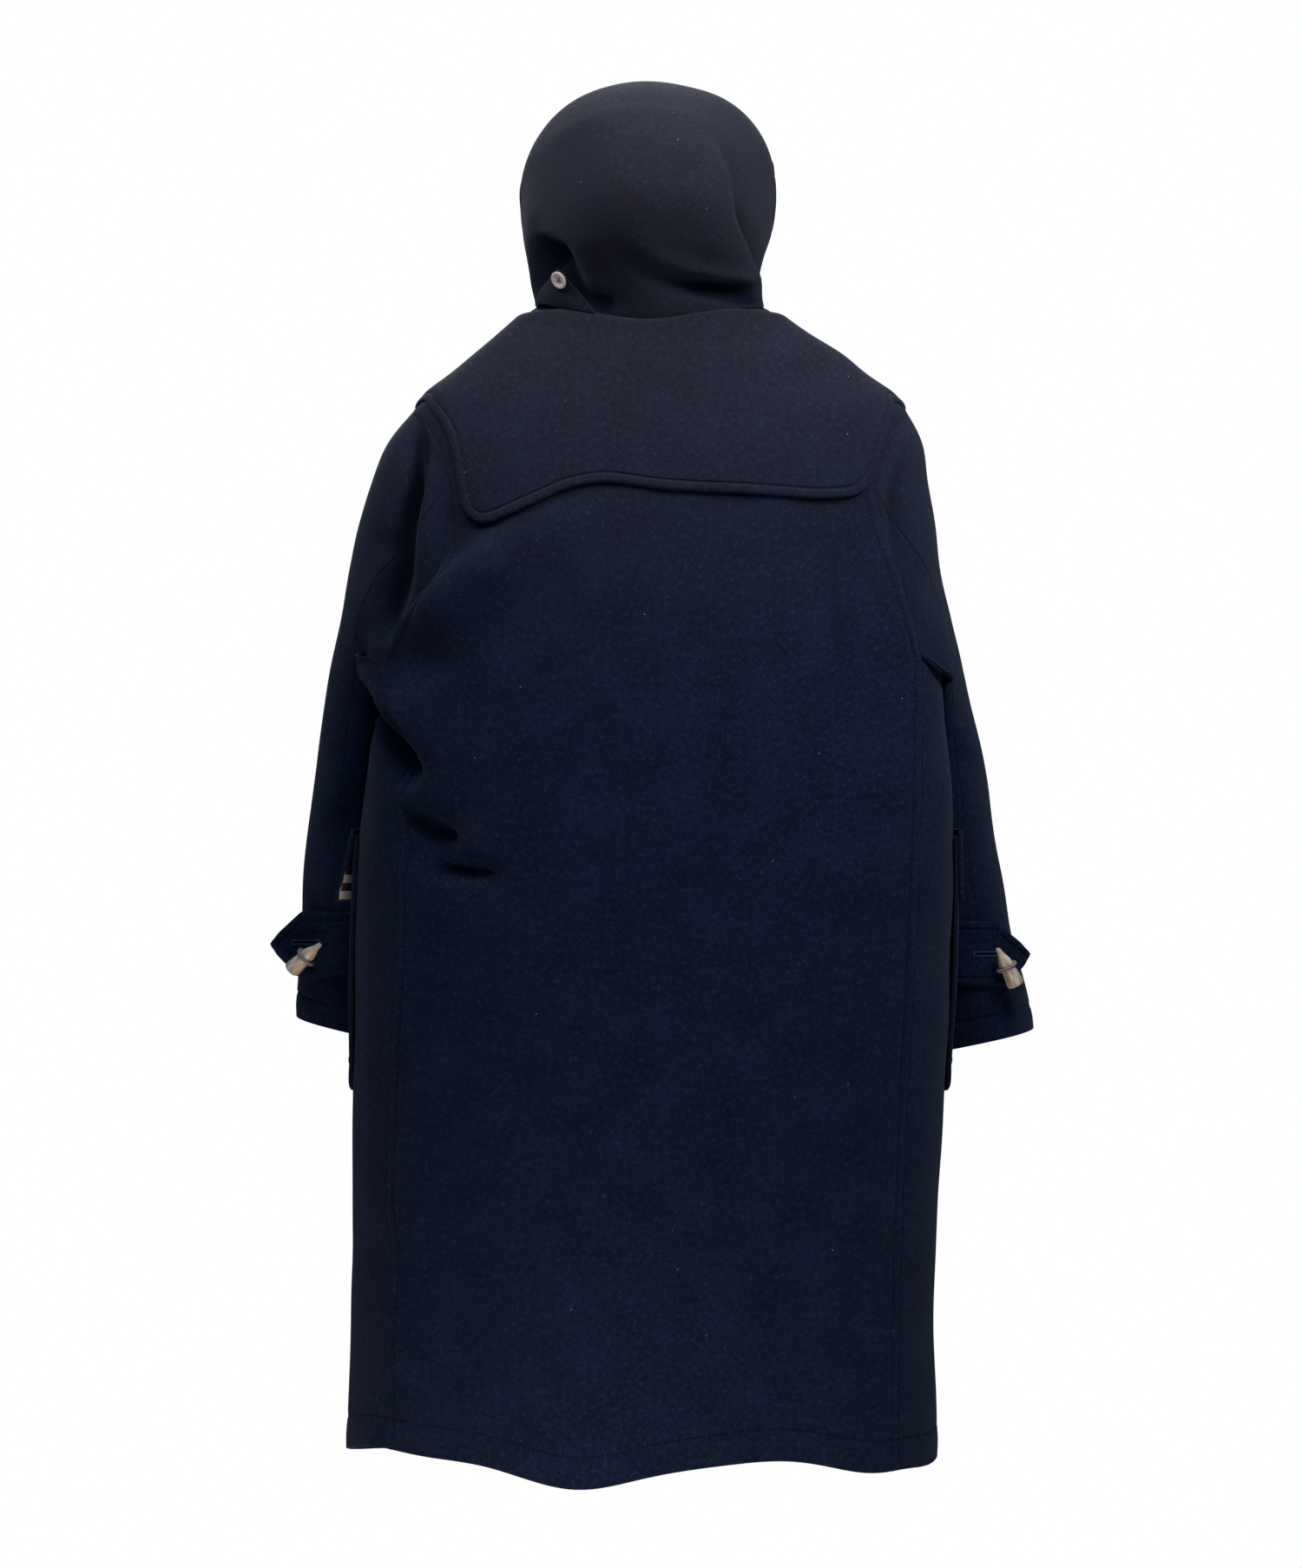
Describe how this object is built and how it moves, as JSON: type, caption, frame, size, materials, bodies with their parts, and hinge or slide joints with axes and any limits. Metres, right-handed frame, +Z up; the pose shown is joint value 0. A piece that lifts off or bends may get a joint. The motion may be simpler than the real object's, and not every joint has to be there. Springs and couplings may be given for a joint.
{
  "type": "duffle coat",
  "caption": "Long hooded wool duffle coat in a worn, open hollow form, with a shoulder yoke, patch pockets, strapped cuffs and horn toggles.",
  "frame": {"origin": "middle of the neck, on the line between the two points where the shoulders meet the hood", "axes": "+Z up, the wearer faces -Y, the wearer's left is +X"},
  "size_m": [0.7142, 0.3502, 1.3101],
  "materials": {
    "back_wool": "heavy melton wool with a fine steep twill and a short nap",
    "front_left_wool": "heavy melton wool with a fine steep twill and a short nap",
    "front_right_wool": "heavy melton wool with a fine steep twill and a short nap",
    "yoke_wool": "heavy melton wool with a fine steep twill and a short nap",
    "hood_wool": "heavy melton wool with a fine steep twill and a short nap",
    "hood_tab_wool": "heavy melton wool with a fine steep twill and a short nap",
    "hood_button_horn": "polished horn, satin",
    "sleeve_top_left_wool": "heavy melton wool with a fine steep twill and a short nap",
    "sleeve_top_right_wool": "heavy melton wool with a fine steep twill and a short nap",
    "sleeve_under_left_wool": "heavy melton wool with a fine steep twill and a short nap",
    "sleeve_under_right_wool": "heavy melton wool with a fine steep twill and a short nap",
    "pocket_left_wool": "heavy melton wool with a fine steep twill and a short nap",
    "pocket_right_wool": "heavy melton wool with a fine steep twill and a short nap",
    "pocket_flap_left_wool": "heavy melton wool with a fine steep twill and a short nap",
    "pocket_flap_right_wool": "heavy melton wool with a fine steep twill and a short nap",
    "cuff_strap_left_wool": "heavy melton wool with a fine steep twill and a short nap",
    "cuff_strap_right_wool": "heavy melton wool with a fine steep twill and a short nap",
    "cuff_toggle_left_horn": "polished horn, satin",
    "cuff_toggle_right_horn": "polished horn, satin",
    "cuff_toggle_left_cord_braid": "dark braided cord",
    "cuff_toggle_right_cord_braid": "dark braided cord",
    "front_patch_left_1_leather": "smooth dark leather",
    "front_patch_right_1_leather": "smooth dark leather",
    "front_loop_left_1_braid": "dark braided cord",
    "front_loop_right_1_braid": "dark braided cord",
    "front_toggle_1_horn": "polished horn, satin",
    "front_patch_left_2_leather": "smooth dark leather",
    "front_patch_right_2_leather": "smooth dark leather",
    "front_loop_left_2_braid": "dark braided cord",
    "front_loop_right_2_braid": "dark braided cord",
    "front_toggle_2_horn": "polished horn, satin",
    "front_patch_left_3_leather": "smooth dark leather",
    "front_patch_right_3_leather": "smooth dark leather",
    "front_loop_left_3_braid": "dark braided cord",
    "front_loop_right_3_braid": "dark braided cord",
    "front_toggle_3_horn": "polished horn, satin",
    "front_patch_left_4_leather": "smooth dark leather",
    "front_patch_right_4_leather": "smooth dark leather",
    "front_loop_left_4_braid": "dark braided cord",
    "front_loop_right_4_braid": "dark braided cord",
    "front_toggle_4_horn": "polished horn, satin"
  },
  "bodies": {
    "root": {"back": "back_wool", "front_left": "front_left_wool", "front_right": "front_right_wool", "yoke": "yoke_wool", "hood": "hood_wool", "hood_tab": "hood_tab_wool", "hood_button": "hood_button_horn", "sleeve_top_left": "sleeve_top_left_wool", "sleeve_top_right": "sleeve_top_right_wool", "sleeve_under_left": "sleeve_under_left_wool", "sleeve_under_right": "sleeve_under_right_wool", "pocket_left": "pocket_left_wool", "pocket_right": "pocket_right_wool", "pocket_flap_left": "pocket_flap_left_wool", "pocket_flap_right": "pocket_flap_right_wool", "cuff_strap_left": "cuff_strap_left_wool", "cuff_strap_right": "cuff_strap_right_wool", "cuff_toggle_left": "cuff_toggle_left_horn", "cuff_toggle_right": "cuff_toggle_right_horn", "cuff_toggle_left_cord": "cuff_toggle_left_cord_braid", "cuff_toggle_right_cord": "cuff_toggle_right_cord_braid", "front_patch_left_1": "front_patch_left_1_leather", "front_patch_right_1": "front_patch_right_1_leather", "front_loop_left_1": "front_loop_left_1_braid", "front_loop_right_1": "front_loop_right_1_braid", "front_toggle_1": "front_toggle_1_horn", "front_patch_left_2": "front_patch_left_2_leather", "front_patch_right_2": "front_patch_right_2_leather", "front_loop_left_2": "front_loop_left_2_braid", "front_loop_right_2": "front_loop_right_2_braid", "front_toggle_2": "front_toggle_2_horn", "front_patch_left_3": "front_patch_left_3_leather", "front_patch_right_3": "front_patch_right_3_leather", "front_loop_left_3": "front_loop_left_3_braid", "front_loop_right_3": "front_loop_right_3_braid", "front_toggle_3": "front_toggle_3_horn", "front_patch_left_4": "front_patch_left_4_leather", "front_patch_right_4": "front_patch_right_4_leather", "front_loop_left_4": "front_loop_left_4_braid", "front_loop_right_4": "front_loop_right_4_braid", "front_toggle_4": "front_toggle_4_horn"}
  },
  "joints": []
}
